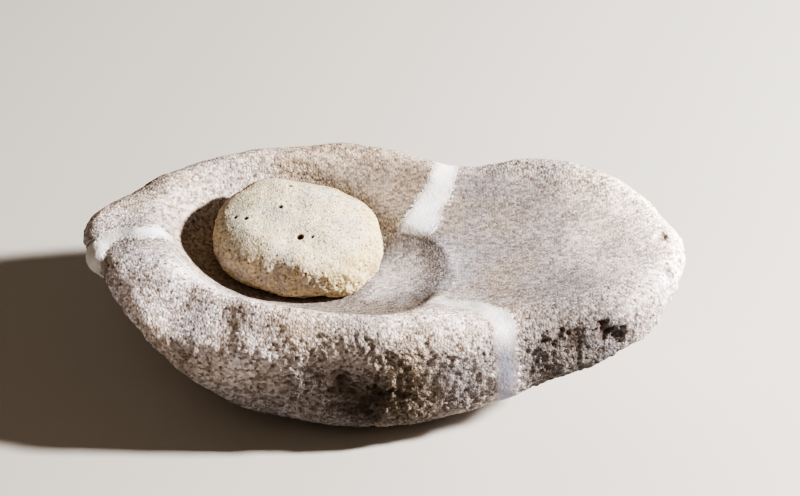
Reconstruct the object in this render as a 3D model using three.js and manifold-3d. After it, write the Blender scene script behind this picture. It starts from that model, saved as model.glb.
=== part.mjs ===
// A saddle quern and its handstone. The quern is a boat-shaped boulder whose top is worn hollow by
// grinding. It was broken in three and is set together again with white plaster. The handstone, a
// thick oval rubber, lies in the hollow. Millimetres, +Z up, +X along the quern, the user's side at -Y.
import * as THREE from "three";
import { mergeVertices } from "three/addons/utils/BufferGeometryUtils.js";
import Module from "manifold-3d";

const wasm = await Module();
wasm.setup();

// The boulder's height at its back rim, and how far the rim falls away between two places on an axis
const RIM_HEIGHT = 140;
const RIM_FALLS = [
  { axis: "x", from: 36, to: 64, drop: 9 },
  { axis: "x", from: 150, to: 250, drop: 5 },
  { axis: "x", from: -130, to: -250, drop: 13 },
  { axis: "y", from: 40, to: -90, drop: 6 },
];

// The shoulder at the left of the front, where the top falls away towards the user: from and to in x and y
const SHOULDER = { x: [-60, -170], y: [-15, -115], drop: 36 };

// The flat foot along x, and the slopes by which the underside climbs to either end
const FOOT = { from: -48, to: 26, leftSlope: 0.43, rightSlope: 0.35, rounding: 26, cut: 7 };
// The underside's further climb into the bow at the left end
const BOW = { from: -115, to: -195, lift: 26 };

// The boulder's widest outline seen from above, as x and y
const BOULDER_OUTLINE = [
  [250, 30],
  [220, 96],
  [164, 140],
  [62, 145],
  [-55, 159],
  [-155, 131],
  [-231, 72],
  [-250, 44],
  [-229, -14],
  [-204, -58],
  [-162, -93],
  [-20, -108],
  [100, -93],
  [208, -57],
  [239, -4],
];
const BOULDER_SECTION = { front: 4.5, back: 7.5, under: 2.7, beltShare: 0.36, around: 72, rings: 11 };

// The long shallow trough, and the deeper bowl that later use wore into its left half
const TROUGH = { x: 25, y: 30, floor: 101, length: 460, width: 236 };
const TROUGH_STEEPNESS = 3;
const BOWL = { middle: [-76, 32], floor: 76, rim: 135, steepness: 2.6, around: 44, rings: 9 };

// The bowl's outline at the height of its rim, seen from above
const BOWL_OUTLINE = [
  [104, 6],
  [85, 58],
  [36, 92],
  [-54, 130],
  [-140, 116],
  [-196, 50],
  [-157, -45],
  [-117, -71],
  [-44, -93],
  [19, -96],
  [60, -75],
];

// Flake scars on the flanks: the middle, then the length, width and height of each scoop
const SCOOP_SIDES = { around: 18, rings: 10 };
const SCARS = [
  { at: [-30, -120, 50], size: [46, 36, 62] },
  { at: [192, -76, 84], size: [40, 34, 22] },
  { at: [-186, -84, 70], size: [36, 34, 30] },
];

// Swells of the weathered surfaces: the distance between crests, and half their height
const BOULDER_SWELLS = { length: 74, height: 1.7 };
const HANDSTONE_SWELLS = { length: 62, height: 0.9 };
// The waves that a swell is made of: the share of its height, the pace along x, y and z, and the start
const WAVES = [
  { share: 0.5, pace: [0.6, 1.1, 1.3], start: 0 },
  { share: 0.5, pace: [1.4, -1.1, 1.3], start: 0 },
  { share: 0.6, pace: [0.7, 1.9, -0.8], start: 0 },
  { share: 0.4, pace: [2.7, 0.5, -1.6], start: Math.PI / 2 },
];
// A face whose normal points up by more than this is one that grinding has smoothed
const GROUND_FACE_RISE = 0.5;

// The two breaks, each a run of x, y and half the width of its plaster
const CROSS_BREAK = [
  [74, 190, 9],
  [60, 132, 9],
  [49, 100, 11],
  [34, 66, 16],
  [12, 38, 15],
  [8, 10, 14],
  [14, -22, 9],
  [44, -50, 6],
  [76, -60, 9],
  [95, -86, 9],
  [104, -150, 8],
];
const END_BREAK = [
  [-290, -8, 6],
  [-238, 4, 6],
  [-208, 15, 5.5],
  [-176, 23, 5],
  [-100, 22, 4],
  [6, 16, 4],
];
const STEPS_PER_SPAN = 4;
const JOINT_GAP = 0.3;
// Corners nearer than this are one corner
const WELD_DISTANCE = 1e-3;

// The handstone's size and place, its turn about z and its lean towards the user and to the right
const HANDSTONE = { length: 144, width: 112, thickness: 51, x: -71, y: 44 };
const HANDSTONE_TURN = -16;
const HANDSTONE_LEAN = 9;
const HANDSTONE_ROLL = 3.5;
const HANDSTONE_SECTION = { front: 3.3, back: 3.3, under: 2.8, beltShare: 0.46, around: 40, rings: 7 };

// The handstone's outline as shares of its length and width
const HANDSTONE_OUTLINE = [
  [0.5, -0.02],
  [0.36, 0.36],
  [0, 0.5],
  [-0.36, 0.4],
  [-0.5, 0.04],
  [-0.38, -0.38],
  [0.02, -0.5],
  [0.38, -0.36],
];

// How closely a stone's rings crowd towards its edge, and how far the front shoulder runs into the back one
const RING_CROWDING = 1.7;
const SHOULDER_BLEND = 60;

const STONE = new THREE.MeshStandardMaterial({ color: 0xb9ada1, roughness: 0.95, metalness: 0 });
const PLASTER = new THREE.MeshStandardMaterial({ color: 0xe4e1de, roughness: 0.9, metalness: 0 });
const RUBBER_STONE = new THREE.MeshStandardMaterial({ color: 0xd8cfba, roughness: 0.92, metalness: 0 });

// Shapes shared by both stones

// A height that stays at zero, then climbs with a slope, turning over a rounded corner.
function roundedRamp(distance, slope, rounding) {
  return (slope * (distance + Math.hypot(distance, rounding))) / 2;
}

function closedCurve(points) {
  return new THREE.CatmullRomCurve3(
    points.map(([x, y]) => new THREE.Vector3(x, y, 0)),
    true,
  );
}

// A closed form of rings drawn in from an outline: over the top to its middle, and under it likewise.
// heightAt gives z for a place, its share of the way out to the outline, and the side it is on.
function ringedForm(outline, centre, around, rings, heightAt) {
  const rim = outline.getSpacedPoints(around).slice(0, around);
  const positions = [];
  const addPoint = (from, share, onTop) => {
    const x = centre.x + (from.x - centre.x) * share;
    const y = centre.y + (from.y - centre.y) * share;
    positions.push(x, y, heightAt(x, y, share, onTop));
  };
  const addRing = (ring, onTop) => {
    const share = 1 - (1 - ring / rings) ** RING_CROWDING;
    rim.forEach((p) => addPoint(p, share, onTop));
  };
  addPoint(centre, 0, true);
  for (let ring = 1; ring <= rings; ring += 1) addRing(ring, true);
  for (let ring = rings - 1; ring > 0; ring -= 1) addRing(ring, false);
  addPoint(centre, 0, false);

  const ringCount = 2 * rings - 1;
  const lowest = 1 + ringCount * around;
  const index = [];
  for (let i = 0; i < around; i += 1) {
    const next = (i + 1) % around;
    index.push(0, 1 + i, 1 + next);
    for (let ring = 0; ring < ringCount - 1; ring += 1) {
      const upper = 1 + ring * around;
      const lower = upper + around;
      index.push(upper + i, lower + i, lower + next, upper + i, lower + next, upper + next);
    }
    index.push(lowest, lowest - around + next, lowest - around + i);
  }
  const geometry = new THREE.BufferGeometry();
  geometry.setAttribute("position", new THREE.Float32BufferAttribute(positions, 3));
  geometry.setIndex(index);
  return geometry;
}

// A stone between a top and an underside, which bulge out to meet at its widest outline, the belt.
// The squareness of its shoulders is given for the front, the back and the underside: 2 is an ellipse.
function roundedStone(outline, topAt, underAt, { front, back, under: below, beltShare, around, rings }) {
  const centre = new THREE.Vector3();
  outline.points.forEach((p) => centre.addScaledVector(p, 1 / outline.points.length));
  return ringedForm(outline, centre, around, rings, (x, y, share, onTop) => {
    const top = topAt(x, y);
    const under = underAt(x, y);
    const belt = under + beltShare * (top - under);
    const backShare = THREE.MathUtils.smoothstep(y - centre.y, -SHOULDER_BLEND, SHOULDER_BLEND);
    const power = onTop ? THREE.MathUtils.lerp(front, back, backShare) : below;
    const fullness = (1 - share ** power) ** (1 / power);
    return belt + ((onTop ? top : under) - belt) * fullness;
  });
}

// Lifts and lowers a surface along its normals in long, low waves, where it isn't ground smooth.
function addSwells(geometry, { length, height }, roughnessAt) {
  geometry.computeVertexNormals();
  const { position, normal } = geometry.attributes;
  const point = new THREE.Vector3();
  const outward = new THREE.Vector3();
  for (let i = 0; i < position.count; i += 1) {
    point.fromBufferAttribute(position, i);
    outward.fromBufferAttribute(normal, i);
    const turn = (pace) => (point.dot(new THREE.Vector3(...pace)) * 2 * Math.PI) / length;
    const wave = WAVES.reduce((sum, { share, pace, start }) => sum + share * Math.sin(turn(pace) + start), 0);
    point.addScaledVector(outward, height * wave * roughnessAt(point, outward));
    position.setXYZ(i, point.x, point.y, point.z);
  }
  geometry.deleteAttribute("normal");
  return geometry;
}

// Solids for cutting and joining

function solidFrom(geometry) {
  const bare = geometry.clone();
  bare.deleteAttribute("normal");
  bare.deleteAttribute("uv");
  const merged = mergeVertices(bare, WELD_DISTANCE);
  return new wasm.Manifold(
    new wasm.Mesh({
      numProp: 3,
      vertProperties: merged.attributes.position.array,
      triVerts: new Uint32Array(merged.index.array),
    }),
  );
}

function geometryFrom(solid) {
  const { vertProperties, triVerts } = solid.getMesh();
  const geometry = new THREE.BufferGeometry();
  geometry.setAttribute("position", new THREE.BufferAttribute(vertProperties, 3));
  geometry.setIndex(new THREE.BufferAttribute(triVerts, 1));
  geometry.computeVertexNormals();
  return geometry;
}

function scoop([x, y, z], [length, width, height]) {
  const ball = new THREE.SphereGeometry(0.5, SCOOP_SIDES.around, SCOOP_SIDES.rings);
  return solidFrom(ball.scale(length, width, height).translate(x, y, z));
}

// The boulder

// How far a place lies from the middle of the trough: 0 there, 1 at its edge.
function acrossTrough(x, y) {
  return Math.min(1, Math.hypot((x - TROUGH.x) / (TROUGH.length / 2), (y - TROUGH.y) / (TROUGH.width / 2)));
}

// A smooth turn from 0 to 1 as a place goes from one value to another, which may be the lesser.
function turnOver(place, from, to) {
  return THREE.MathUtils.smoothstep((place - from) / (to - from), 0, 1);
}

function boulderTop(x, y) {
  const fall = RIM_FALLS.reduce(
    (sum, { axis, from, to, drop }) => sum + drop * turnOver(axis === "x" ? x : y, from, to),
    SHOULDER.drop * turnOver(x, ...SHOULDER.x) * turnOver(y, ...SHOULDER.y),
  );
  const rise = RIM_HEIGHT - fall - TROUGH.floor;
  return TROUGH.floor + rise * acrossTrough(x, y) ** TROUGH_STEEPNESS;
}

function boulderUnder(x) {
  const left = roundedRamp(FOOT.from - x, FOOT.leftSlope, FOOT.rounding);
  const right = roundedRamp(x - FOOT.to, FOOT.rightSlope, FOOT.rounding);
  return left + right + BOW.lift * turnOver(x, BOW.from, BOW.to) - FOOT.cut;
}

function makeBoulder() {
  const rough = roundedStone(closedCurve(BOULDER_OUTLINE), boulderTop, boulderUnder, BOULDER_SECTION);
  const weathered = ({ x, y }, outward) => (outward.z > GROUND_FACE_RISE ? acrossTrough(x, y) ** 2 : 1);
  const ground = new THREE.BoxGeometry(2 * RIM_HEIGHT, 2 * RIM_HEIGHT, RIM_HEIGHT);
  ground.translate(0, 0, -RIM_HEIGHT / 2);
  let stone = solidFrom(addSwells(rough, BOULDER_SWELLS, weathered)).subtract(solidFrom(ground));
  for (const { at, size } of SCARS) stone = stone.subtract(scoop(at, size));
  return stone;
}

function makeBowl() {
  const { middle, floor, rim, steepness, around, rings } = BOWL;
  const deepest = new THREE.Vector3(...middle, floor);
  const bowl = ringedForm(closedCurve(BOWL_OUTLINE), deepest, around, rings, (x, y, share, onTop) =>
    onTop ? 2 * rim : floor + (rim - floor) * share ** steepness,
  );
  return solidFrom(bowl);
}

const quern = makeBoulder().subtract(makeBowl());

// The breaks and their plaster

// An upright wall of changing thickness along a break, from below the stone to above it.
function breakWall(run, extra) {
  const line = new THREE.CatmullRomCurve3(run.map(([x, y, half]) => new THREE.Vector3(x, y, half)));
  const stations = line.getPoints(STEPS_PER_SPAN * (run.length - 1));
  const side = (sign) =>
    stations.map((p, i) => {
      const ahead = stations[Math.min(i + 1, stations.length - 1)];
      const behind = stations[Math.max(i - 1, 0)];
      const along = new THREE.Vector2(ahead.x - behind.x, ahead.y - behind.y).normalize();
      const reach = sign * (p.z + extra);
      return new THREE.Vector2(p.x - along.y * reach, p.y + along.x * reach);
    });
  const shape = new THREE.Shape([...side(1), ...side(-1).reverse()]);
  const wall = new THREE.ExtrudeGeometry(shape, { depth: 2 * RIM_HEIGHT, bevelEnabled: false });
  return solidFrom(wall.translate(0, 0, -RIM_HEIGHT / 2));
}

const breaksWith = (extra) => breakWall(CROSS_BREAK, extra).add(breakWall(END_BREAK, extra));
const plaster = quern.intersect(breaksWith(0));
const fragments = quern.subtract(breaksWith(JOINT_GAP)).decompose();

// The fragment that reaches furthest along an axis, in the direction of the sign.
function furthestFragment(axis, sign) {
  const reach = (solid) => {
    const { min, max } = solid.boundingBox();
    return sign > 0 ? max[axis] : -min[axis];
  };
  return fragments.reduce((best, solid) => (reach(solid) > reach(best) ? solid : best));
}

// The handstone, let down until it touches the hollow

function makeHandstone() {
  const { length, width, thickness } = HANDSTONE;
  const outline = closedCurve(HANDSTONE_OUTLINE.map(([x, y]) => [x * length, y * width]));
  const stone = roundedStone(outline, () => thickness, () => 0, HANDSTONE_SECTION);
  addSwells(stone, HANDSTONE_SWELLS, () => 1);
  stone.rotateY(THREE.MathUtils.degToRad(HANDSTONE_ROLL));
  stone.rotateX(THREE.MathUtils.degToRad(HANDSTONE_LEAN));
  stone.rotateZ(THREE.MathUtils.degToRad(HANDSTONE_TURN));
  return stone.translate(HANDSTONE.x, HANDSTONE.y, 0);
}

function letDown(geometry, onto) {
  const surface = new THREE.Mesh(geometryFrom(onto));
  const plumb = new THREE.Raycaster();
  const down = new THREE.Vector3(0, 0, -1);
  const { position } = geometry.attributes;
  let lift = -Infinity;
  for (let i = 0; i < position.count; i += 1) {
    plumb.set(new THREE.Vector3(position.getX(i), position.getY(i), 2 * RIM_HEIGHT), down);
    const [hit] = plumb.intersectObject(surface);
    lift = Math.max(lift, hit.point.z - position.getZ(i));
  }
  return geometry.translate(0, 0, lift + JOINT_GAP);
}

// The whole, with its origin on the ground under the middle of its length and width

const group = new THREE.Group();
function addPiece(name, geometry, material) {
  const mesh = new THREE.Mesh(geometry, material);
  mesh.name = name;
  group.add(mesh);
}
addPiece("quern_back_fragment", geometryFrom(furthestFragment(1, 1)), STONE);
addPiece("quern_front_fragment", geometryFrom(furthestFragment(1, -1)), STONE);
addPiece("quern_right_fragment", geometryFrom(furthestFragment(0, 1)), STONE);
addPiece("plaster_fill", geometryFrom(plaster), PLASTER);
addPiece("handstone", letDown(makeHandstone(), quern), RUBBER_STONE);

const box = new THREE.Box3().setFromObject(group);
const middle = box.getCenter(new THREE.Vector3());
group.position.set(-middle.x, -middle.y, -box.min.z);

export default group;
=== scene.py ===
"""A mended saddle quern with its handstone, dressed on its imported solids.

The quern's solids are drawn together into one skin, eased, roughened and pitted as the stone is, and cut
again along the breaks, so that stone and plaster meet without a groove. The handstone is dressed alike.
Lengths are metres, in the frame of the solids, unless a name says otherwise.
"""

import bmesh
import bpy
import numpy as np
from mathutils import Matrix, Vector, kdtree, noise


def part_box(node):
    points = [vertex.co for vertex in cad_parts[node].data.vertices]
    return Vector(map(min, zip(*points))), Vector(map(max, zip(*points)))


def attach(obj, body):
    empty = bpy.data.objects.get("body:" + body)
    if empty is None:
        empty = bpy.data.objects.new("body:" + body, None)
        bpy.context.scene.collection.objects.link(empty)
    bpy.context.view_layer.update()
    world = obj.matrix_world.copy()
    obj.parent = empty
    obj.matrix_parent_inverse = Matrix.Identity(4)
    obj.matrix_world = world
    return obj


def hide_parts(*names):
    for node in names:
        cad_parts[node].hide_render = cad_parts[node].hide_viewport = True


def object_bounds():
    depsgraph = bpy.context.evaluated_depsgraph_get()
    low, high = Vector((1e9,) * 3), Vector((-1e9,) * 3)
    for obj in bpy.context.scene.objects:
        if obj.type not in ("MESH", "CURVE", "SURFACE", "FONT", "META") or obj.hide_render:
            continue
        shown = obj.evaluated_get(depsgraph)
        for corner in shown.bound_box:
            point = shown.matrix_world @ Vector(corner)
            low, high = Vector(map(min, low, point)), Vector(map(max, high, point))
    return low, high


bl_info = {
    "name": "Saddle Quern",
    "version": (1, 0, 0),
    "blender": (4, 5, 0),
    "location": "View3D > Sidebar > Quern",
    "description": "Dresses a mended saddle quern and its handstone on their solids",
    "category": "Object",
}

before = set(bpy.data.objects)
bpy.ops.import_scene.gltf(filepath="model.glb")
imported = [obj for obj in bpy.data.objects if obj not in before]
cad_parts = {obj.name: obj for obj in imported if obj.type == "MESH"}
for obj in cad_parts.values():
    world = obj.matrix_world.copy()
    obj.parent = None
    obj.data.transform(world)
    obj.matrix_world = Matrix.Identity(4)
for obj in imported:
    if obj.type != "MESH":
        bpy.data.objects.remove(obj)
CAD_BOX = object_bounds()

BODY = "root"
MM = 0.001
FRAGMENTS = {
    "quern_back_fragment": "back_stone",
    "quern_front_fragment": "front_stone",
    "quern_right_fragment": "right_stone",
}
PLASTER_NODE = "plaster_fill"
HANDSTONE_NODE = "handstone"

# Before the skin is drawn over the solids, points this near are joined and the joints closed by this much
WELD = 0.01 * MM
JOINT_CLOSING = 0.25 * MM
# How many times each skin is eased, and the angle from which an edge stays sharp
QUERN_EASING = 50
HANDSTONE_EASING = 30
SHARP_ANGLE = np.radians(50)

# The worn hollow seen from above: the middle, length and width of the ellipse that grinding reached
HOLLOW = {"x": 25 * MM, "y": 4.5 * MM, "length": 460 * MM, "width": 236 * MM}
# Wear fades out between these shares of that ellipse, and the flank begins between these rises of the normal
WORN_REACH = (0.97, 0.74)
FLANK_RISE = (0.8, 0.25)
# The upper side of the quern lies above this height
UPPER_SIDE = 80 * MM

# The bowl's right edge, an arc that stays crisp while the other edges are worn round
CRISP_ARC = {"x": -3 * MM, "y": -22 * MM, "radius": 63 * MM, "reach": 9 * MM, "right": 30 * MM}
# The same edge as it shows in the tones, which reach a little further: the bowl is toned down inside it, with
# painted shade along the edge
BOWL_SIDE = {"x": -8 * MM, "y": -26 * MM, "radius": 66 * MM}
# The painted shade inside that edge, on the bowl's right wall that turns away from the lamp: where it sets in
# and fades, inwards, forwards and to the right, and its shares
ARC_PAINTED_SHADE = {
    "edge": (-1 * MM, 1.5 * MM),
    "inward": (30 * MM, 4 * MM),
    "front_y": (30 * MM, -15 * MM),
    "right_x": (10 * MM, 34 * MM),
    "back_share": 0.4,
    "darkening": 0.5,
}

# The two breaks seen from above, each a run of x, y and half the width of its plaster, in millimetres
CROSS_BREAK = (
    (66, 164, 9),
    (52, 106, 9),
    (42, 74, 11),
    (29, 42, 14),
    (12, 12, 15),
    (8, -16, 14),
    (14, -48, 9),
    (44, -76, 6),
    (76, -86, 9),
    (95, -112, 9),
    (104, -176, 8),
)
END_BREAK = (
    (-290, -50, 6),
    (-246, -36, 7),
    (-234, -23, 7),
    (-224.5, -11, 6),
    (-212.5, -6, 5.5),
    (-192, -6.5, 5),
    (-176, 1, 4.5),
    (-100, -4, 4),
    (6, -10, 4),
)
BREAK_STEP = 2 * MM
BREAK_LEVELS = 60
# The slabs of plaster stand past the quern by the margin, and one of them by the stagger more
BREAK_MARGIN = 20 * MM
BREAK_STAGGER = 2 * MM
# How far the plaster's edges stray, as the height and the size of each kind of bend
RAGGED_BENDS = (2.2 * MM, 16 * MM)
RAGGED_NICKS = (0.8 * MM, 5 * MM)

# How far apart the lumps, grains and pits of the quern's stone lie
BROAD_SIZE = 32 * MM
KNOB_SIZE = 9 * MM
GRAIN_SIZE = 4.2 * MM
COARSE_SIZE = 42 * MM
RECESS_SIZE = 12 * MM
PIT_SPACING = 6.5 * MM
PIT_RADIUS = 1.5 * MM
# Where the noise lies between these, a stretch of the flank turns coarse, or a recess opens in it
COARSE_NOISE = (-0.4, 0.3)
RECESS_NOISE = (0.2, 0.65)
# The relief: shares of the settings' heights, and heights that add up by the kinds of surface
BROAD_SHARE = 0.5
KNOB_SHARE = 0.35
GRAIN_HEIGHT = {"all": 0.08 * MM, "rough": 0.17 * MM, "flank": 0.5 * MM, "coarse": 0.5 * MM}
PIT_DEPTH = {"all": 0.2 * MM, "rough": 0.2 * MM, "flank": 0.0, "coarse": 0.6 * MM}
RECESS_DEPTH = 0.8 * MM
# How far the outlines of hollows and of tones wander, as shares of their reach
MARK_STRAY = 0.8
TONE_STRAY = 0.25
# Shares of dirt and painted shade in pits and recesses, the depth in millimetres of a hollow filled with
# them, and their limit
PIT_DIRT_AND_SHADE = 0.4
RECESS_DIRT_AND_SHADE = 0.4
DIRT_AND_SHADE_DEPTH_MM = 4
MOST_DIRT_AND_SHADE = 0.95
# How much darker the stone is where grinding polished it
WORN_DARKENING = 0.38
# The plaster: its unevenness, how far it stands proud where white, and the edge over which it thins out
PLASTER_RELIEF = {"broad": 0.5 * MM, "knobs": 0.2 * MM, "proud": 0.2 * MM}
PLASTER_EDGE = (-4 * MM, 1 * MM)
# A lump widens the plaster by so many times its height, and at the left end it is smeared further
LUMP_SPREAD = 3
LEFT_SMEAR_MM = 1.5

# Hollows in the stone that show from a step away: x, y, z, reach and depth in millimetres
STONE_MARKS = (
    (-35, -131, 76, 6, 1.5),
    (-31, -131, 66, 9, 1.8),
    (-24, -131, 54, 16, 1.8),
    (-4, -130, 48, 16, 1.8),
    (14, -131, 66, 9, 1.5),
    (167, -99, 100, 5, 1.5),
    (173, -98, 92, 9, 2.5),
    (186, -91, 87, 8, 2.5),
    (150, -106, 90, 9, 1.8),
    (139, -107, 96, 6, 1.5),
    (128, -108, 93, 7, 1.5),
    (227, 5, 114, 5, 2),
    (232, -33, 108, 6, 2.5),
)
# Where plaster stands proud of the left end, as x, y, z, reach and height in millimetres
PLASTER_LUMPS = (
    (-238, -23, 117, 12, 4),
    (-241, -28, 107, 13, 3),
    (-236, -34, 95, 14, 6),
    (-228, -40, 83, 13, 5),
    (-220, -46, 74, 12, 4),
)

# Broad stains on the stone, and the warmth painted into the handstone's shadow: x, y, z and reach in
# millimetres, and warmth, less than 0 for a cool grey
STONE_STAINS_AND_SHADOW_TINT = (
    (-20, 80, 110, 75, 1.0),
    (110, 0, 101, 60, -0.2),
    (26, -12, 92, 44, -2.4),
    (-205, -30, 115, 60, -0.9),
    # Painted shadow colour: the warm brown of the handstone's shadow on the bowl's left wall
    (-140, 10, 98, 38, 2.0),
    (-60, -95, 118, 45, 0.4),
    (20, -131, 62, 30, 0.8),
    (-120, -120, 80, 70, -0.5),
    (75, -122, 75, 50, -0.5),
    (200, -60, 90, 80, -0.6),
)

# Stretches painted paler or darker as light and shade: painted light on the right end, the left front, the
# back-left tip, the bowl's right side and the handstone's shadow; painted shade on the right and lower
# flanks. x, y, z and reach in millimetres, and the share of light they add
PAINTED_LIGHT_AND_SHADE = (
    (215, 30, 108, 72, 0.95),
    (-200, -5, 122, 45, -0.25),
    (-185, -68, 102, 48, 0.65),
    (-228, 18, 116, 26, 0.8),
    (20, -20, 92, 42, 1.2),
    (-20, 85, 112, 75, -0.2),
    (40, -92, 118, 46, 0.38),
    (-100, -102, 102, 62, 0.45),
    (160, -112, 72, 58, -0.65),
    (-60, -130, 40, 70, -0.6),
    (-150, -95, 40, 60, -0.4),
    (30, -130, 58, 48, -0.55),
    (-145, 10, 98, 28, 0.35),
)

# Where plaster was left white: outside the bowl, past these places on the back, the front and the left end,
# in millimetres. In the bowl it is toned down to the stone, and by the bowl's right edge half as much.
WHITE_PLASTER = {"back_y": (-5, 15), "front_x": (60, 88), "left_x": (-170, -184)}
HALF_WHITE = 0.45
WHITE_FADE = (1 * MM, -2 * MM)

# The handstone: the way its upper face looks, and its larger pits, given as the hollows above are
HANDSTONE_UP = Vector((0.016, -0.167, 0.986))
HANDSTONE_PITS = (
    (-69, -12, 127, 2.4, 3),
    (-86, 21, 134, 1.8, 2),
    (-114, 9, 131, 1.8, 2),
    (-123, 12, 130, 1.5, 1.5),
    (-79, 49, 137, 1.6, 1.5),
    (-59, -12, 127, 1.3, 1.2),
)
# Its sides, by how far the normal points that way: the rough edge, the underside and the creamy right end
HANDSTONE_EDGE = (0.9, 0.5)
HANDSTONE_UNDER = (0.0, -0.35)
HANDSTONE_RIGHT = {"rise": (1.0, 0.85), "toward_x": (0.0, 0.3), "share": 0.9}
# Its front edge, by the normal's lean to the back, and the places along it between which the stain sets in
HANDSTONE_FRONT = (0.15, -0.45)
HANDSTONE_STAIN_X = (-34 * MM, -62 * MM)
# Its relief: the sizes of the crags with the share of the finer ones, and size and height of the rest
HANDSTONE_CRAGS = {"broad": 9 * MM, "fine": 4 * MM, "fine_share": 0.5, "edge": 0.35, "front": 0.5}
HANDSTONE_SWELLS = (22 * MM, 0.5 * MM)
HANDSTONE_GRIT = (3 * MM, 0.15 * MM)
HANDSTONE_PORES = {"spacing": 6 * MM, "radius": 1.2 * MM, "depth": 0.5 * MM, "dirt": 0.7}

# Sizes of the patterns in the materials. The grains of both stones are about a millimetre across: too fine
# to show, so they are drawn about twice as coarse.
STONE_GRAINS = 2.3 * MM
STONE_SPECKS = 5 * MM
STONE_DRIFTS = 55 * MM
STONE_BUMP = 1.0 * MM
PLASTER_CLOUDS = 14 * MM
PLASTER_BUMP = 0.2 * MM
# The heights between which painted shade turns the plaster lavender grey
PLASTER_LOW = (106 * MM, 84 * MM)
RUBBED_GRAINS = 1.9 * MM
RUBBED_BLOTCHES = 28 * MM
RUBBED_MOTTLE = 8 * MM
RUBBED_SPECKS = 4.5 * MM
RUBBED_BUMP = 0.4 * MM

# Colours of the materials that are no setting
GROUND_STONE = "#B8AFA8"
COOL_TINT = "#E3E5F5"
WARM_TINT = "#F9ECDF"
STONE_DIRT_AND_SHADE = "#4E4037"
PLASTER_CLOUDED = "#CFCCD0"
# The plaster's painted shade, low on the quern
PLASTER_SHADED = "#9C9BAE"
RUBBED_GREY = "#CBC8BE"
RUBBED_EDGE_TINT = "#F0EAE1"
RUBBED_OCHRE = "#C9BA98"
RUBBED_SHADE = "#CFC4B2"
RUBBED_DIRT = "#54452F"
PAPER_GREY = "#BAB7B3"
# How far grinding evens the grains, a stain turns the tint, and wear and coarseness fill the pores
GROUND_SHARE = 0.2
STAIN_SHARE = 0.3
WORN_FILLING = 0.55
COARSE_FILLING = 0.5
# How much deeper the bump is where the stone is coarse
COARSE_BUMP = 0.7
# How far single grains stray over the edge of the plaster, and how far it is thinned low on the front
GRAIN_STRAY_MM = 4.0
LOW_THINNING_MM = 3.5

# A patch of the noise that lies apart from the stone's own place in it
FAR_AWAY = np.array([3.0, 5.0, 7.0])
# What scrambles a pit's place into a chance of its own
SCRAMBLE = np.array([12.99, 78.23, 37.72])
SCRAMBLE_GAIN = 43.76

# The photograph's view: what the lens is aimed at, how far it stands off and how high it looks down
IMAGE_SIZE = (800, 496)
VIEW_AIM = (12.6 * MM, 25.3 * MM, 89.7 * MM)
VIEW_DISTANCE = 1.9
VIEW_ELEVATION = np.radians(35)
VIEW_FOCAL_PIXELS = 2269.2
SENSOR_WIDTH_MM = 36.0

# The floor's side, and the soft light from all round
FLOOR_SIZE = 8
AMBIENT_COLOUR = "#FFEEDD"
AMBIENT_STRENGTH = 0.15
# The lamps: name, watts, metres across, colour, the way to it from the stone, and metres off
LAMPS = (
    ("key", 300, 0.22, "#FFFCF8", (0.873, -0.046, 0.485), 3.0),
    ("fill", 8, 1.6, "#FFE3C4", (-0.3, -0.7, 0.65), 2.6),
)


# Colours and shader nodes


def linear(hex_colour):
    """An sRGB hex colour as linear red, green, blue and alpha."""
    parts = [int(hex_colour[i:i + 2], 16) / 255 for i in (1, 3, 5)]
    return tuple(c / 12.92 if c <= 0.04045 else ((c + 0.055) / 1.055) ** 2.4 for c in parts) + (1.0,)


def add_node(tree, kind, settings, inputs):
    """Adds a node, sets its properties, and links each input to a socket or gives it a value."""
    made = tree.nodes.new(kind)
    for name, value in settings.items():
        setattr(made, name, value)
    for key, value in inputs.items():
        if isinstance(value, bpy.types.NodeSocket):
            tree.links.new(value, made.inputs[key])
        else:
            made.inputs[key].default_value = value
    return made


class QuernSettings(bpy.types.PropertyGroup):
    """What a user would change on the quern."""

    spacing: bpy.props.FloatProperty(
        name="Skin spacing",
        description="Distance between the points of the eased skin, before it is divided once more",
        default=2.5 * MM,
        unit="LENGTH",
    )
    flank_relief: bpy.props.FloatProperty(
        name="Flank relief",
        description="Height of the lumps left by flaking and weathering on the flanks and the underside",
        default=2.4 * MM,
        unit="LENGTH",
    )
    rim_relief: bpy.props.FloatProperty(
        name="Rim relief",
        description="Height of the lumps on the weathered rim",
        default=0.9 * MM,
        unit="LENGTH",
    )
    hollow_relief: bpy.props.FloatProperty(
        name="Hollow relief",
        description="Height of the unevenness left by grinding in the hollow",
        default=0.3 * MM,
        unit="LENGTH",
    )
    stone_light: bpy.props.FloatVectorProperty(
        name="Stone, light grains",
        description="Colour of the clean grains of the quern's stone",
        default=linear("#E2DCD5"),
        size=4,
        subtype="COLOR",
    )
    stone_dark: bpy.props.FloatVectorProperty(
        name="Stone, dark grains",
        description="Colour of the dirt between the grains of the quern's stone",
        default=linear("#948A81"),
        size=4,
        subtype="COLOR",
    )
    plaster_white: bpy.props.FloatVectorProperty(
        name="Plaster",
        description="Colour of the plaster in the breaks",
        default=linear("#DEDDDD"),
        size=4,
        subtype="COLOR",
    )


class HandstoneSettings(bpy.types.PropertyGroup):
    """What a user would change on the handstone."""

    spacing: bpy.props.FloatProperty(
        name="Skin spacing",
        description="Distance between the points of the eased skin, before it is divided once more",
        default=1.6 * MM,
        unit="LENGTH",
    )
    edge_relief: bpy.props.FloatProperty(
        name="Edge relief",
        description="Height of the lumps on the rough edge",
        default=1.6 * MM,
        unit="LENGTH",
    )
    top: bpy.props.FloatVectorProperty(
        name="Top",
        description="Colour of the clean upper face",
        default=linear("#DDD3BC"),
        size=4,
        subtype="COLOR",
    )
    stain: bpy.props.FloatVectorProperty(
        name="Stain",
        description="Colour of the brown stain on the front edge",
        default=linear("#B3AAA1"),
        size=4,
        subtype="COLOR",
    )


# Meshes


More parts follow.
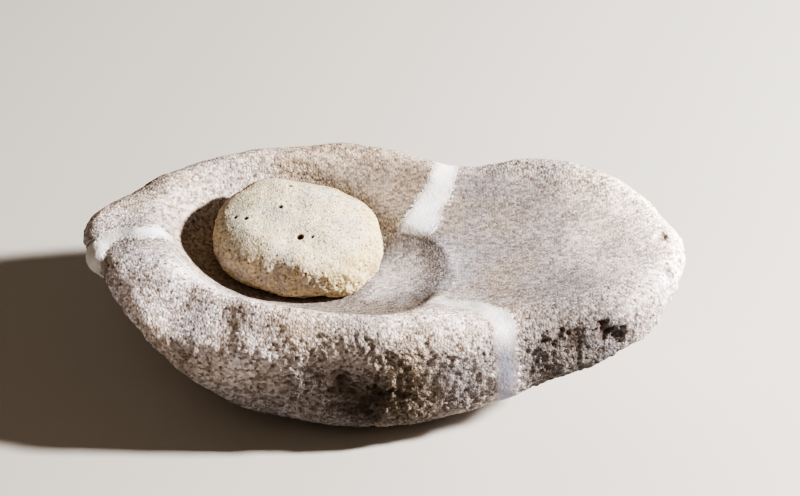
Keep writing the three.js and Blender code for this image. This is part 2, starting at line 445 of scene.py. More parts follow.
def modified(mesh, kind, **settings):
    """A new mesh, as one of Blender's modifiers makes it from this one."""
    holder = bpy.data.objects.new("holder", mesh)
    bpy.context.scene.collection.objects.link(holder)
    modifier = holder.modifiers.new(kind.title(), kind)
    for name, value in settings.items():
        setattr(modifier, name, value)
    depsgraph = bpy.context.evaluated_depsgraph_get()
    made = bpy.data.meshes.new_from_object(
        holder.evaluated_get(depsgraph), preserve_all_data_layers=True, depsgraph=depsgraph
    )
    bpy.data.objects.remove(holder)
    return made


def read_points(mesh, key):
    """A vector of each vertex, such as its place or its normal, as an array."""
    source = mesh.vertices if key == "co" else mesh.vertex_normals
    values = np.empty(len(mesh.vertices) * 3, np.float32)
    source.foreach_get(key, values)
    return values.reshape(-1, 3).astype(float)


def move_points(mesh, places):
    """Puts a mesh's vertices in new places."""
    mesh.vertices.foreach_set("co", places.astype(np.float32).ravel())
    mesh.update()


def store(mesh, name, values):
    """Keeps a number for each vertex, which the materials read."""
    mesh.attributes.new(name, "FLOAT", "POINT").data.foreach_set("value", values.astype(np.float32))


def ease(values, ends, passes):
    """Averages values with their neighbours' along a mesh's edges, several times over."""
    near = np.concatenate([ends[:, 0], ends[:, 1]])
    far = np.concatenate([ends[:, 1], ends[:, 0]])
    count = np.bincount(near, minlength=len(values))[:, None]
    for _ in range(passes):
        sums = [np.bincount(near, values[far, axis], len(values)) for axis in range(3)]
        values = (values + np.stack(sums, axis=1) / count) / 2
    return values


def eased_skin(nodes, spacing, passes, keep_at):
    """One skin over some solids, its facets eased away without shrinking it, but for where it is kept."""
    form = bmesh.new()
    for node in nodes:
        form.from_mesh(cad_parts[node].data)
    bmesh.ops.remove_doubles(form, verts=form.verts, dist=WELD)
    form.normal_update()
    for vertex in form.verts:
        vertex.co += vertex.normal * JOINT_CLOSING
    solids = bpy.data.meshes.new("solids")
    form.to_mesh(solids)
    form.free()
    skin = modified(solids, "REMESH", mode="VOXEL", voxel_size=spacing)
    places = read_points(skin, "co")
    ends = np.empty(len(skin.edges) * 2, np.int32)
    skin.edges.foreach_get("vertices", ends)
    ends = ends.reshape(-1, 2)
    soft = ease(places, ends, passes)
    soft += ease(places - soft, ends, passes)
    keep = keep_at(places)[:, None]
    move_points(skin, soft + (places - soft) * keep)
    return modified(skin, "SUBSURF", levels=1)


# Patterns


def smooth_step(low, high, values):
    """0 below low, 1 above high, and a smooth turn between; low may be the greater."""
    share = np.clip((values - low) / (high - low), 0, 1)
    return share * share * (3 - 2 * share)


def lumps(places, size, octaves=1):
    """A noise between about -1 and 1 at each place, with its lumps about size apart."""
    return np.array([noise.fractal(Vector(p), 0.9, 2.1, octaves) for p in places / size])


def pits(places, spacing, radius):
    """1 at the bottom of scattered pits and 0 between them, each pit with its own width."""
    found = [noise.voronoi(Vector(p)) for p in places / spacing]
    distance = np.array([d[0] for d, _ in found]) * spacing
    centres = np.array([c[0] for _, c in found])
    chance = np.abs(np.sin(centres @ SCRAMBLE) * SCRAMBLE_GAIN) % 1
    return 1 - smooth_step(0.25 * radius, radius * (0.4 + chance), distance)


# The breaks


def smooth_run(run):
    """A break's run as a fine line: its places in plan and half its width at each."""
    points = np.array(run, float) * MM
    padded = np.vstack([2 * points[0] - points[1], points, 2 * points[-1] - points[-2]])
    line = []
    for before, start, end, after in zip(padded, padded[1:], padded[2:], padded[3:]):
        count = max(2, int(np.hypot(*(end - start)[:2]) / BREAK_STEP))
        for t in np.arange(count) / count:
            slope = end - before
            bend = 2 * before - 5 * start + 4 * end - after
            turn = 3 * start - before - 3 * end + after
            line.append(start + 0.5 * t * (slope + t * (bend + t * turn)))
    return np.array(line)


def ragged(places):
    """How far the plaster's edge strays at a place."""
    bend, bend_size = RAGGED_BENDS
    nick, nick_size = RAGGED_NICKS
    return bend * lumps(places, bend_size, 2) + nick * lumps(places, nick_size)


def break_wall(run, low, high):
    """An upright slab of plaster along a break, with ragged sides, as a closed mesh."""
    line = smooth_run(run)
    along = np.gradient(line[:, :2], axis=0)
    along /= np.linalg.norm(along, axis=1)[:, None]
    across = np.stack([-along[:, 1], along[:, 0]], axis=1)
    levels = np.linspace(low, high, BREAK_LEVELS)
    count = len(line)
    grids = []
    for side in (1, -1):
        sides = np.zeros((count, BREAK_LEVELS, 3))
        sides[:, :, :2] = (line[:, :2] + side * across * line[:, 2:])[:, None]
        sides[:, :, 2] = levels
        stray = ragged(sides.reshape(-1, 3)).reshape(count, BREAK_LEVELS, 1)
        sides[:, :, :2] += side * across[:, None] * stray
        grids.append(sides.reshape(-1, 3))
    index = np.arange(2 * count * BREAK_LEVELS).reshape(2, count, BREAK_LEVELS)
    edges = [index[0], index[1], index[:, 0], index[:, -1], index[:, :, 0], index[:, :, -1]]
    faces = [
        np.stack([g[:-1, :-1], g[1:, :-1], g[1:, 1:], g[:-1, 1:]], axis=-1).reshape(-1, 4) for g in edges
    ]
    form = bmesh.new()
    corners = [form.verts.new(place) for place in np.vstack(grids)]
    for face in np.vstack(faces):
        form.faces.new([corners[i] for i in face])
    bmesh.ops.recalc_face_normals(form, faces=form.faces)
    wall = bpy.data.meshes.new("break_wall")
    form.to_mesh(wall)
    form.free()
    return wall


def depth_in_plaster(places):
    """How far inside the plaster each place lies, less than zero outside it."""
    depth = np.full(len(places), -np.inf)
    for run in (CROSS_BREAK, END_BREAK):
        line = smooth_run(run)
        for part in np.array_split(np.arange(len(places)), 64):
            gaps = np.hypot(
                places[part, None, 0] - line[None, :, 0], places[part, None, 1] - line[None, :, 1]
            )
            depth[part] = np.maximum(depth[part], np.max(line[None, :, 2] - gaps, axis=1))
    return depth + ragged(places)


# The quern


def from_hollow(places):
    """How far each place lies from the middle of the hollow: 0 there, 1 at the edge of the wear."""
    x = (places[:, 0] - HOLLOW["x"]) / (HOLLOW["length"] / 2)
    y = (places[:, 1] - HOLLOW["y"]) / (HOLLOW["width"] / 2)
    return np.hypot(x, y)


def crisp_arc(places):
    """1 on the bowl's crisp right edge, falling to 0 a little way off."""
    x = places[:, 0] - CRISP_ARC["x"]
    y = places[:, 1] - CRISP_ARC["y"]
    off = (np.hypot(x, y) - CRISP_ARC["radius"]) / CRISP_ARC["reach"]
    return np.exp(-off * off) * smooth_step(0, CRISP_ARC["right"], x) * (places[:, 2] > UPPER_SIDE)


def within_arc(places):
    """How far each place lies inside the edge of the bowl's toned right side, less than 0 outside it."""
    return BOWL_SIDE["radius"] - np.hypot(places[:, 0] - BOWL_SIDE["x"], places[:, 1] - BOWL_SIDE["y"])


def arc_shade(places):
    """1 just inside the bowl's crisp right edge, where shade is painted on the wall that turns away from the
    lamp, falling to 0 inwards.
    """
    inward = within_arc(places)
    band = smooth_step(*ARC_PAINTED_SHADE["edge"], inward) * smooth_step(*ARC_PAINTED_SHADE["inward"], inward)
    front = smooth_step(*ARC_PAINTED_SHADE["front_y"], places[:, 1])
    right = smooth_step(*ARC_PAINTED_SHADE["right_x"], places[:, 0])
    share = ARC_PAINTED_SHADE["back_share"] + (1 - ARC_PAINTED_SHADE["back_share"]) * front
    return band * right * share * (places[:, 2] > UPPER_SIDE)


def marks(places, spots, stray=0):
    """How much some marks add up to at each place: full near the middle of each, nothing past its reach.

    Stray is a share of the reach by which a mark's outline wanders.
    """
    total = np.zeros(len(places))
    for x, y, z, reach, amount in spots:
        gap = np.linalg.norm(places - np.array([x, y, z]) * MM, axis=1) / (reach * MM)
        total += amount * np.exp(-np.clip(gap + stray, 0, None) ** 4)
    return total


def white_plaster(places):
    """1 where the plaster was left white, 0 where it was toned down to the stone."""
    x, y = places[:, 0] / MM, places[:, 1] / MM
    back = smooth_step(*WHITE_PLASTER["back_y"], y)
    front = smooth_step(*WHITE_PLASTER["front_x"], x)
    left = smooth_step(*WHITE_PLASTER["left_x"], x)
    outside = smooth_step(*WHITE_FADE, within_arc(places)) * (x > 0)
    return np.maximum(left, outside * np.maximum(HALF_WHITE, np.maximum(back, front)))


def by_surface(heights, rough, flank, coarse):
    """A height at each point, added up from what the kinds of surface there give."""
    return heights["all"] + heights["rough"] * rough + heights["flank"] * flank + heights["coarse"] * coarse


def whole_quern(settings):
    """The quern as one closed skin with the relief of stone and plaster, and the numbers of its points."""
    skin = eased_skin([*FRAGMENTS, PLASTER_NODE], settings.spacing, QUERN_EASING, crisp_arc)
    places = read_points(skin, "co")
    outward = read_points(skin, "vector")
    flank = smooth_step(*FLANK_RISE, outward[:, 2])
    worn = (1 - flank) * smooth_step(*WORN_REACH, from_hollow(places))
    rough = 1 - worn
    broad = lumps(places, BROAD_SIZE, 2)
    knobs = lumps(places, KNOB_SIZE, 3)
    grains = lumps(places, GRAIN_SIZE, 2)
    hollows = pits(places, PIT_SPACING, PIT_RADIUS)
    coarse = flank * smooth_step(*COARSE_NOISE, lumps(places + FAR_AWAY, COARSE_SIZE, 2))
    recess = coarse * smooth_step(*RECESS_NOISE, lumps(places - FAR_AWAY, RECESS_SIZE, 4))
    hollowed = marks(places, STONE_MARKS, MARK_STRAY * knobs)

    height = settings.hollow_relief * worn
    height += settings.rim_relief * (rough - flank) + settings.flank_relief * flank
    relief = height * (BROAD_SHARE * broad + KNOB_SHARE * knobs)
    relief += by_surface(GRAIN_HEIGHT, rough, flank, coarse) * grains
    relief -= by_surface(PIT_DEPTH, rough, flank, coarse) * hollows
    relief -= RECESS_DEPTH * recess + hollowed * MM

    bulge = marks(places, PLASTER_LUMPS) * MM
    plaster_depth = depth_in_plaster(places) + LUMP_SPREAD * bulge
    plaster = smooth_step(*PLASTER_EDGE, plaster_depth)
    white = white_plaster(places)
    mended = PLASTER_RELIEF["broad"] * broad + PLASTER_RELIEF["knobs"] * knobs
    mended += PLASTER_RELIEF["proud"] * white + bulge
    relief += (mended - relief) * plaster
    places += outward * relief[:, None]
    places[:, 2] = np.maximum(places[:, 2], 0)
    move_points(skin, places)

    # The tones: the painted light and shade above, less the painted shade along the bowl's right edge
    tones = marks(places, PAINTED_LIGHT_AND_SHADE, TONE_STRAY * broad) - ARC_PAINTED_SHADE["darkening"] * arc_shade(places)
    left_end = smooth_step(*WHITE_PLASTER["left_x"], places[:, 0] / MM)
    # Recesses and marked hollows are darkened with dirt, and with painted shade in place of the shadow inside
    # them
    sunk = np.maximum(RECESS_DIRT_AND_SHADE * recess, np.clip(hollowed / DIRT_AND_SHADE_DEPTH_MM, 0, MOST_DIRT_AND_SHADE))
    numbers = {
        "worn": worn,
        "coarse": coarse,
        "pitted": hollows * (1 - plaster) * PIT_DIRT_AND_SHADE * (1 + rough),
        "sunk": sunk * (1 - plaster),
        "warmth": marks(places, STONE_STAINS_AND_SHADOW_TINT),
        # Lightness: darker where worn, and paler or darker where light and shade are painted
        "lightness": (1 - WORN_DARKENING * worn) * (1 + tones),
        "mended": plaster_depth / MM + LEFT_SMEAR_MM * left_end,
        "white": white,
    }
    return skin, numbers


def carry_over(pieces, whole, numbers):
    """Gives each point of the cut pieces the numbers of the nearest point on the whole skin."""
    finder = kdtree.KDTree(len(whole.vertices))
    for vertex in whole.vertices:
        finder.insert(vertex.co, vertex.index)
    finder.balance()
    for piece in pieces:
        nearest = np.array([finder.find(vertex.co)[1] for vertex in piece.data.vertices])
        for name, values in numbers.items():
            store(piece.data, name, values[nearest])


def holder_of(mesh):
    """An object that holds a mesh as the other side of a cut."""
    holder = bpy.data.objects.new("cutter", mesh)
    bpy.context.scene.collection.objects.link(holder)
    return holder


def cut(mesh, walls, operation):
    """A mesh cut by the break walls, or what it shares with them."""
    cutter = holder_of(walls)
    made = modified(mesh, "BOOLEAN", operation=operation, object=cutter, solver="MANIFOLD")
    bpy.data.objects.remove(cutter)
    return made


def loose_parts(mesh):
    """The separate bodies in a mesh, each as an object."""
    holder = holder_of(mesh)
    bpy.ops.object.select_all(action="DESELECT")
    holder.select_set(True)
    bpy.context.view_layer.objects.active = holder
    bpy.ops.mesh.separate(type="LOOSE")
    return list(bpy.context.selected_objects)


def nearest_part(parts, middle):
    """The part whose box has its middle nearest to a place."""
    return min(parts, key=lambda part: (sum(map(Vector, part.bound_box), Vector()) / 8 - middle).length)


def settle(piece, name, node, material):
    """Names a piece, gives it its finish, and sets it on the frame in place of its solid."""
    piece.name = name
    piece.data.name = name
    piece.data.materials.clear()
    piece.data.materials.append(material)
    piece.data.shade_smooth()
    piece.data.set_sharp_from_angle(angle=SHARP_ANGLE)
    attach(piece, BODY)
    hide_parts(node)


# Materials


def new_material(name, *kept):
    """An empty material: its tree, its shader, the place in metres, and the numbers kept on the points."""
    material = bpy.data.materials.new(name)
    material.use_nodes = True
    tree = material.node_tree
    place = add_node(tree, "ShaderNodeTexCoord", {}, {}).outputs["Object"]
    numbers = [add_node(tree, "ShaderNodeAttribute", {"attribute_name": k}, {}).outputs["Fac"] for k in kept]
    return material, tree, tree.nodes["Principled BSDF"], place, numbers


def packed_grains(tree, place, size):
    """Grains packed together, about size across: the tone of each from 0 to 1, and the height of its dome."""
    cells = add_node(tree, "ShaderNodeTexVoronoi", {}, {"Vector": place, "Scale": 1 / size})
    tone = add_node(tree, "ShaderNodeSeparateColor", {}, {"Color": cells.outputs["Color"]})
    crumbs = add_node(
        tree,
        "ShaderNodeTexNoise",
        {},
        {"Vector": place, "Scale": 1.6 / size, "Detail": 3.0, "Roughness": 0.7},
    )
    height = add_node(
        tree,
        "ShaderNodeMath",
        {"operation": "SUBTRACT"},
        {0: crumbs.outputs["Fac"], 1: cells.outputs["Distance"]},
    )
    return tone.outputs[0], height.outputs[0]


def stone_colour(tree, place, tone, numbers, settings):
    """The quern's stone: pale grains among darker ones, evened by grinding, in warm and cool drifts, made
    paler or darker by its lightness, which carries painted light and shade.
    """
    worn, warmth, lightness = numbers
    stone = add_node(
        tree,
        "ShaderNodeMix",
        {"data_type": "RGBA"},
        {0: tone, 6: tuple(settings.stone_dark), 7: tuple(settings.stone_light)},
    )
    evenness = add_node(tree, "ShaderNodeMath", {"operation": "MULTIPLY"}, {0: worn, 1: GROUND_SHARE})
    evened = add_node(
        tree,
        "ShaderNodeMix",
        {"data_type": "RGBA"},
        {0: evenness.outputs[0], 6: stone.outputs[2], 7: linear(GROUND_STONE)},
    )
    drift = add_node(
        tree, "ShaderNodeTexNoise", {}, {"Vector": place, "Scale": 1 / STONE_DRIFTS, "Detail": 4.0}
    )
    warmed = add_node(
        tree,
        "ShaderNodeMath",
        {"operation": "MULTIPLY_ADD"},
        {0: warmth, 1: STAIN_SHARE, 2: drift.outputs["Fac"]},
    )
    turned = add_node(
        tree,
        "ShaderNodeMapRange",
        {},
        {"Value": warmed.outputs[0], "From Min": 0.15, "From Max": 0.85},
    )
    tint = add_node(
        tree,
        "ShaderNodeMix",
        {"data_type": "RGBA"},
        {0: turned.outputs[0], 6: linear(COOL_TINT), 7: linear(WARM_TINT)},
    )
    toned = add_node(
        tree,
        "ShaderNodeMix",
        {"data_type": "RGBA", "blend_type": "MULTIPLY"},
        {0: 1.0, 6: evened.outputs[2], 7: tint.outputs[2]},
    )
    lit = add_node(
        tree, "ShaderNodeVectorMath", {"operation": "SCALE"}, {"Vector": toned.outputs[2], "Scale": lightness}
    )
    return lit.outputs[0]


def weathered_limestone(settings):
    """A coarse, porous limestone, ground smooth or weathered: pale grains, dirt and painted shade in its pits
    and recesses, no gloss.
    """
    material, tree, shader, place, numbers = new_material(
        "weathered_limestone", "worn", "warmth", "lightness", "coarse", "pitted", "sunk", "mended", "white"
    )
    worn, warmth, lightness, coarse, pitted, sunk, mended, white = numbers
    tone, dome = packed_grains(tree, place, STONE_GRAINS)
    colour = stone_colour(tree, place, tone, (worn, warmth, lightness), settings)
    # Dark specks: dirt in the pores, and painted shade in place of the shadows of small pits
    pores = add_node(tree, "ShaderNodeTexVoronoi", {}, {"Vector": place, "Scale": 1 / STONE_SPECKS})
    specks = add_node(
        tree,
        "ShaderNodeMapRange",
        {},
        {"Value": pores.outputs["Distance"], "From Min": 0.36, "From Max": 0.2},
    )
    strength = add_node(
        tree,
        "ShaderNodeMapRange",
        {},
        {"Value": pores.outputs["Color"], "From Min": 0.3, "From Max": 0.8, "To Max": 0.72},
    )
    uneven = add_node(
        tree, "ShaderNodeMath", {"operation": "MULTIPLY"}, {0: specks.outputs[0], 1: strength.outputs[0]}
    )
    filled = add_node(
        tree, "ShaderNodeMath", {"operation": "MULTIPLY_ADD"}, {0: worn, 1: -WORN_FILLING, 2: 1.0}
    )
    scarce = add_node(
        tree,
        "ShaderNodeMath",
        {"operation": "MULTIPLY_ADD"},
        {0: coarse, 1: -COARSE_FILLING, 2: filled.outputs[0]},
    )
    open_pores = add_node(
        tree, "ShaderNodeMath", {"operation": "MULTIPLY"}, {0: uneven.outputs[0], 1: scarce.outputs[0]}
    )
    holes = add_node(tree, "ShaderNodeMath", {"operation": "MAXIMUM"}, {0: open_pores.outputs[0], 1: pitted})
    dirt_and_shade = add_node(tree, "ShaderNodeMath", {"operation": "MAXIMUM"}, {0: holes.outputs[0], 1: sunk})
    # Pores, pits and recesses are darkened: dirt, and painted shade
    dirt = add_node(
        tree,
        "ShaderNodeMix",
        {"data_type": "RGBA"},
        {0: dirt_and_shade.outputs[0], 6: colour, 7: linear(STONE_DIRT_AND_SHADE)},
    )
    strays = add_node(
        tree, "ShaderNodeMath", {"operation": "MULTIPLY_ADD"}, {0: tone, 1: GRAIN_STRAY_MM, 2: mended}
    )
    smear = add_node(
        tree,
        "ShaderNodeMapRange",
        {},
        {"Value": strays.outputs[0], "From Min": 0.0, "From Max": 3.5, "To Max": 0.95},
    )
    smeared = add_node(tree, "ShaderNodeMath", {"operation": "MULTIPLY"}, {0: smear.outputs[0], 1: white})
    whitened = add_node(
        tree,
        "ShaderNodeMix",
        {"data_type": "RGBA"},
        {0: smeared.outputs[0], 6: dirt.outputs[2], 7: tuple(settings.plaster_white)},
    )
    unevenness = add_node(
        tree,
        "ShaderNodeMapRange",
        {},
        {"Value": worn, "From Min": 1.0, "From Max": 0.0, "To Min": 0.3, "To Max": 0.6},
    )
    cragginess = add_node(
        tree,
        "ShaderNodeMath",
        {"operation": "MULTIPLY_ADD"},
        {0: coarse, 1: COARSE_BUMP, 2: unevenness.outputs[0]},
    )
    height = add_node(
        tree, "ShaderNodeMath", {"operation": "MULTIPLY"}, {0: dome, 1: cragginess.outputs[0]}
    )
    bump = add_node(tree, "ShaderNodeBump", {}, {"Height": height.outputs[0], "Distance": STONE_BUMP})
    shader.inputs["Roughness"].default_value = 0.92
    shader.inputs["Specular IOR Level"].default_value = 0.2
    tree.links.new(whitened.outputs[2], shader.inputs["Base Color"])
    tree.links.new(bump.outputs["Normal"], shader.inputs["Normal"])
    return material


def gypsum_plaster(settings):
    """Gypsum plaster, trowelled and rubbed down: chalky white, toned to the stone in the bowl, and with
    painted shade in lavender grey low on the quern.
    """
    material, tree, shader, place, numbers = new_material(
        "gypsum_plaster", "worn", "warmth", "lightness", "mended", "white"
    )
    worn, warmth, lightness, mended, white = numbers
    tone, dome = packed_grains(tree, place, STONE_GRAINS)
    stone = stone_colour(tree, place, tone, (worn, warmth, lightness), settings)
    clouds = add_node(
        tree, "ShaderNodeTexNoise", {}, {"Vector": place, "Scale": 1 / PLASTER_CLOUDS, "Detail": 4.0}
    )
    clouded = add_node(
        tree,
        "ShaderNodeMapRange",
        {},
        {"Value": clouds.outputs["Fac"], "From Min": 0.35, "From Max": 0.68},
    )
    chalk = add_node(
        tree,
        "ShaderNodeMix",
        {"data_type": "RGBA"},
        {0: clouded.outputs[0], 6: linear(PLASTER_CLOUDED), 7: tuple(settings.plaster_white)},
    )
    # Painted shade: low on the quern, where the plaster faces down and away from the lamp, it turns lavender
    # grey; there it is also thinned
    height = add_node(tree, "ShaderNodeSeparateXYZ", {}, {"Vector": place})
    low = add_node(
        tree,
        "ShaderNodeMapRange",
        {},
        {"Value": height.outputs["Z"], "From Min": PLASTER_LOW[0], "From Max": PLASTER_LOW[1]},
    )
    shaded = add_node(
        tree,
        "ShaderNodeMix",
        {"data_type": "RGBA"},
        {0: low.outputs[0], 6: chalk.outputs[2], 7: linear(PLASTER_SHADED)},
    )
    thinned = add_node(
        tree,
        "ShaderNodeMath",
        {"operation": "MULTIPLY_ADD"},
        {0: low.outputs[0], 1: -LOW_THINNING_MM, 2: mended},
    )
    strays = add_node(
        tree,
        "ShaderNodeMath",
        {"operation": "MULTIPLY_ADD"},
        {0: tone, 1: -GRAIN_STRAY_MM, 2: thinned.outputs[0]},
    )
    thick = add_node(
        tree,
        "ShaderNodeMapRange",
        {},
        {"Value": strays.outputs[0], "From Min": -3.0, "From Max": 2.0, "To Min": 0.2},
    )
    showing = add_node(tree, "ShaderNodeMath", {"operation": "MULTIPLY"}, {0: thick.outputs[0], 1: white})
    whitened = add_node(
        tree,
        "ShaderNodeMix",
        {"data_type": "RGBA"},
        {0: showing.outputs[0], 6: stone, 7: shaded.outputs[2]},
    )
    bump = add_node(tree, "ShaderNodeBump", {}, {"Height": dome, "Distance": PLASTER_BUMP})
    shader.inputs["Roughness"].default_value = 0.85
    tree.links.new(whitened.outputs[2], shader.inputs["Base Color"])
    tree.links.new(bump.outputs["Normal"], shader.inputs["Normal"])
    return material


def rubbed_limestone(settings):
    """A finer, creamier limestone: rubbed smooth on top, rough and stained brown on its front edge."""
    material, tree, shader, place, numbers = new_material(
        "rubbed_limestone", "edge", "stained", "under", "pitted"
    )
    edge, stained, under, pitted = numbers
    tone, dome = packed_grains(tree, place, RUBBED_GRAINS)
    blotches = add_node(
        tree, "ShaderNodeTexNoise", {}, {"Vector": place, "Scale": 1 / RUBBED_BLOTCHES, "Detail": 4.0}
    )
    grey = add_node(
        tree,
        "ShaderNodeMapRange",
        {},
        {"Value": blotches.outputs["Fac"], "From Min": 0.42, "From Max": 0.66},
    )
    top = add_node(
        tree,
        "ShaderNodeMix",
        {"data_type": "RGBA"},
        {0: grey.outputs[0], 6: tuple(settings.top), 7: linear(RUBBED_GREY)},
    )
    warm = add_node(
        tree,
        "ShaderNodeMix",
        {"data_type": "RGBA", "blend_type": "MULTIPLY"},
        {0: edge, 6: top.outputs[2], 7: linear(RUBBED_EDGE_TINT)},
    )
    mottle = add_node(
        tree,
        "ShaderNodeTexNoise",
        {},
        {"Vector": place, "Scale": 1 / RUBBED_MOTTLE, "Detail": 4.0, "Roughness": 0.65},
    )
    mottled = add_node(
        tree,
        "ShaderNodeMapRange",
        {},
        {"Value": mottle.outputs["Fac"], "From Min": 0.42, "From Max": 0.6},
    )
    stain = add_node(
        tree, "ShaderNodeMath", {"operation": "MULTIPLY"}, {0: stained, 1: mottled.outputs[0]}
    )
    browned = add_node(
        tree,
        "ShaderNodeMix",
        {"data_type": "RGBA"},
        {0: stain.outputs[0], 6: warm.outputs[2], 7: tuple(settings.stain)},
    )
    ochre = add_node(
        tree,
        "ShaderNodeMix",
        {"data_type": "RGBA"},
        {0: under, 6: browned.outputs[2], 7: linear(RUBBED_OCHRE)},
    )
    shade = add_node(
        tree, "ShaderNodeMapRange", {}, {"Value": tone, "From Min": 0.7, "From Max": 0.0, "To Max": 0.8}
    )
    speckled = add_node(
        tree,
        "ShaderNodeMix",
        {"data_type": "RGBA", "blend_type": "MULTIPLY"},
        {0: shade.outputs[0], 6: ochre.outputs[2], 7: linear(RUBBED_SHADE)},
    )
    pores = add_node(tree, "ShaderNodeTexVoronoi", {}, {"Vector": place, "Scale": 1 / RUBBED_SPECKS})
    specks = add_node(
        tree,
        "ShaderNodeMapRange",
        {},
        {"Value": pores.outputs["Distance"], "From Min": 0.26, "From Max": 0.12, "To Max": 0.7},
    )
    holes = add_node(
        tree, "ShaderNodeMath", {"operation": "MAXIMUM"}, {0: specks.outputs[0], 1: pitted}
    )
    dirt = add_node(
        tree,
        "ShaderNodeMix",
        {"data_type": "RGBA"},
        {0: holes.outputs[0], 6: speckled.outputs[2], 7: linear(RUBBED_DIRT)},
    )
    bump = add_node(tree, "ShaderNodeBump", {}, {"Height": dome, "Distance": RUBBED_BUMP})
    shader.inputs["Roughness"].default_value = 0.9
    shader.inputs["Specular IOR Level"].default_value = 0.25
    tree.links.new(dirt.outputs[2], shader.inputs["Base Color"])
    tree.links.new(bump.outputs["Normal"], shader.inputs["Normal"])
    return material


def studio_paper():
    """Seamless studio paper: pale and even, with no gloss."""
    material, _, shader, _, _ = new_material("studio_paper")
    shader.inputs["Base Color"].default_value = linear(PAPER_GREY)
    shader.inputs["Roughness"].default_value = 0.95
    return material


# Operators


class QUERN_OT_stones(bpy.types.Operator):
    """Makes the quern's three fragments and the plaster between them"""

    bl_idname = "quern.stones"
    bl_label = "Quern and Plaster"

    def execute(self, context):
        settings = context.scene.quern
        whole, numbers = whole_quern(settings)
        low, high = -BREAK_MARGIN, CAD_BOX[1][2] + BREAK_MARGIN
        end_wall = holder_of(break_wall(END_BREAK, low - BREAK_STAGGER, high + BREAK_STAGGER))
        cross_wall = break_wall(CROSS_BREAK, low, high)
        walls = modified(cross_wall, "BOOLEAN", operation="UNION", object=end_wall, solver="MANIFOLD")
        bpy.data.objects.remove(end_wall)
        limestone = weathered_limestone(settings)
        parts = loose_parts(cut(whole, walls, "DIFFERENCE"))
        parts.sort(key=lambda part: -len(part.data.vertices))
        for crumb in parts[len(FRAGMENTS):]:
            bpy.data.objects.remove(crumb)
        parts = parts[:len(FRAGMENTS)]
        plaster = holder_of(cut(whole, walls, "INTERSECT"))
        carry_over([*parts, plaster], whole, numbers)
        for node, name in FRAGMENTS.items():
            piece = nearest_part(parts, sum(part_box(node), Vector()) / 2)
            parts.remove(piece)
            settle(piece, name, node, limestone)
        settle(plaster, "mending_plaster", PLASTER_NODE, gypsum_plaster(settings))
        return {"FINISHED"}


class QUERN_OT_handstone(bpy.types.Operator):
    """Makes the handstone that lies in the hollow"""

    bl_idname = "quern.handstone"
    bl_label = "Handstone"

    def execute(self, context):
        settings = context.scene.quern_handstone
        skin = eased_skin(
            [HANDSTONE_NODE], settings.spacing, HANDSTONE_EASING, lambda places: np.zeros(len(places))
        )
        places = read_points(skin, "co")
        outward = read_points(skin, "vector")
        upward = outward @ np.array(HANDSTONE_UP)
        edge = smooth_step(*HANDSTONE_EDGE, upward)
        front = edge * smooth_step(*HANDSTONE_FRONT, outward[:, 1])
        stained = front * smooth_step(*HANDSTONE_STAIN_X, places[:, 0])
        under = smooth_step(*HANDSTONE_UNDER, upward)
        right = smooth_step(*HANDSTONE_RIGHT["rise"], upward)
        right *= smooth_step(*HANDSTONE_RIGHT["toward_x"], outward[:, 0])
        hollows = pits(places, HANDSTONE_PORES["spacing"], HANDSTONE_PORES["radius"])
        holes = marks(places, HANDSTONE_PITS)

        crags = lumps(places, HANDSTONE_CRAGS["broad"], 3)
        crags += HANDSTONE_CRAGS["fine_share"] * lumps(places, HANDSTONE_CRAGS["fine"], 2)
        swell_size, swell = HANDSTONE_SWELLS
        grit_size, grit = HANDSTONE_GRIT
        relief = settings.edge_relief * (HANDSTONE_CRAGS["edge"] * edge + HANDSTONE_CRAGS["front"] * front)
        relief *= crags
        relief += swell * lumps(places, swell_size, 2) + grit * lumps(places, grit_size)
        relief -= HANDSTONE_PORES["depth"] * hollows + holes * MM
        move_points(skin, places + outward * relief[:, None])

        store(skin, "edge", edge)
        store(skin, "stained", stained * (1 - under))
        store(skin, "under", np.maximum(under, HANDSTONE_RIGHT["share"] * right))
        store(skin, "pitted", np.maximum(HANDSTONE_PORES["dirt"] * hollows, np.clip(holes, 0, 1)))
        piece = holder_of(skin)
        settle(piece, "rubbing_stone", HANDSTONE_NODE, rubbed_limestone(settings))
        return {"FINISHED"}


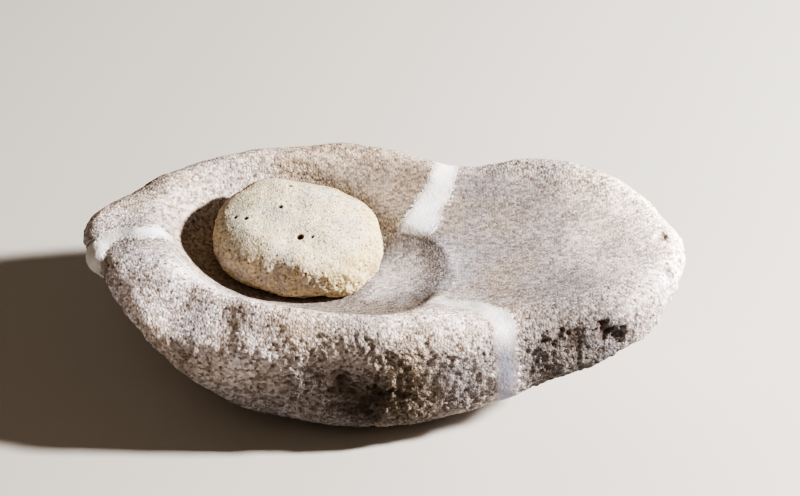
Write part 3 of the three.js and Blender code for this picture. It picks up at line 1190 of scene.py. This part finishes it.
class QUERN_OT_stage(bpy.types.Operator):
    """Lays the floor and sets the lights and the camera"""

    bl_idname = "quern.stage"
    bl_label = "Floor, Lights and Camera"

    def execute(self, context):
        scene = context.scene
        bpy.ops.mesh.primitive_plane_add(size=FLOOR_SIZE)
        floor = context.object
        floor.name = "floor"
        floor.data.materials.append(studio_paper())

        for name, energy, size, colour, toward, distance in LAMPS:
            lamp = bpy.data.objects.new(name, bpy.data.lights.new(name, "AREA"))
            lamp.data.energy = energy
            lamp.data.size = size
            lamp.data.color = linear(colour)[:3]
            lamp.location = Vector(VIEW_AIM) + Vector(toward).normalized() * distance
            lamp.rotation_euler = Vector(toward).to_track_quat("Z", "Y").to_euler()
            scene.collection.objects.link(lamp)

        world = bpy.data.worlds.new("studio")
        world.use_nodes = True
        backdrop = world.node_tree.nodes["Background"]
        backdrop.inputs["Color"].default_value = linear(AMBIENT_COLOUR)
        backdrop.inputs["Strength"].default_value = AMBIENT_STRENGTH
        scene.world = world
        scene.view_settings.view_transform = "AgX"
        scene.view_settings.look = "AgX - Very High Contrast"

        lens = bpy.data.cameras.new("camera")
        lens.sensor_width = SENSOR_WIDTH_MM
        lens.lens = SENSOR_WIDTH_MM * VIEW_FOCAL_PIXELS / IMAGE_SIZE[0]
        camera = bpy.data.objects.new("camera", lens)
        aim = Vector(VIEW_AIM)
        back = Vector((0, -np.cos(VIEW_ELEVATION), np.sin(VIEW_ELEVATION)))
        camera.location = aim + back * VIEW_DISTANCE
        camera.rotation_euler = (-back).to_track_quat("-Z", "Y").to_euler()
        scene.collection.objects.link(camera)
        scene.camera = camera
        return {"FINISHED"}


class QUERN_PT_panel(bpy.types.Panel):
    """Lists the quern's operators and settings"""

    bl_idname = "QUERN_PT_panel"
    bl_label = "Saddle Quern"
    bl_space_type = "VIEW_3D"
    bl_region_type = "UI"
    bl_category = "Quern"

    def draw(self, context):
        layout = self.layout
        for operator in OPERATORS:
            layout.operator(operator.bl_idname)
        for settings in (context.scene.quern, context.scene.quern_handstone):
            box = layout.box()
            for name in settings.__annotations__:
                box.prop(settings, name)


OPERATORS = (QUERN_OT_stones, QUERN_OT_handstone, QUERN_OT_stage)
CLASSES = (QuernSettings, HandstoneSettings, *OPERATORS, QUERN_PT_panel)


def register():
    """Registers the classes and hangs the settings on the scene."""
    for cls in CLASSES:
        bpy.utils.register_class(cls)
    bpy.types.Scene.quern = bpy.props.PointerProperty(type=QuernSettings)
    bpy.types.Scene.quern_handstone = bpy.props.PointerProperty(type=HandstoneSettings)


def unregister():
    """Takes the settings and the classes away again."""
    del bpy.types.Scene.quern_handstone
    del bpy.types.Scene.quern
    for cls in reversed(CLASSES):
        bpy.utils.unregister_class(cls)


def main():
    """Makes the whole object and its stage."""
    register()
    bpy.ops.quern.stones()
    bpy.ops.quern.handstone()
    bpy.ops.quern.stage()


if __name__ == "__main__":
    main()
